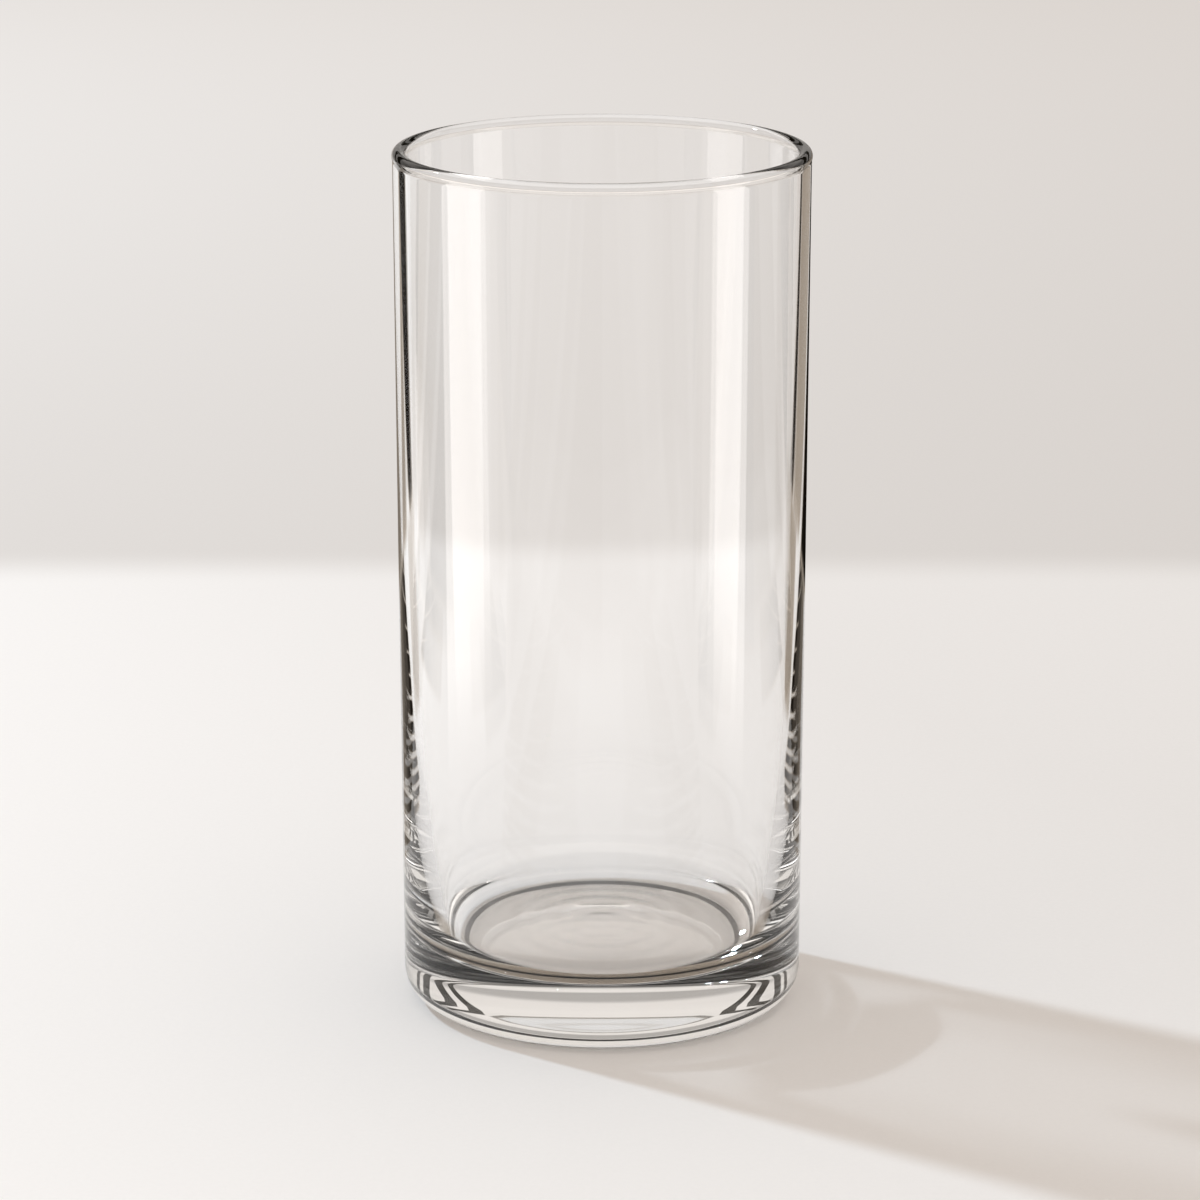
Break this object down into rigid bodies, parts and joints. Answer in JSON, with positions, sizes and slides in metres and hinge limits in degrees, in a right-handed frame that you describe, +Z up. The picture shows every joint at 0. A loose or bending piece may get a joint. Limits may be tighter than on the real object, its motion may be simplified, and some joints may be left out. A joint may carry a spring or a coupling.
{
  "type": "tall tumbler",
  "caption": "Tall straight-sided drinking tumbler in clear glass, with a rounded lip, a wall that thickens downwards and a heavy base with a rounded heel.",
  "frame": {"origin": "centre of the bearing ring, on the surface that the tumbler stands on", "axes": "+Z up along the tumbler's axis, towards the rim; the body is round, so X and Y are free"},
  "size_m": [0.07, 0.07, 0.148],
  "materials": {
    "clear_glass": "clear soda-lime glass, fire-polished, smooth and glossy all over"
  },
  "bodies": {
    "root": {"glass_body": "clear_glass"}
  },
  "joints": []
}
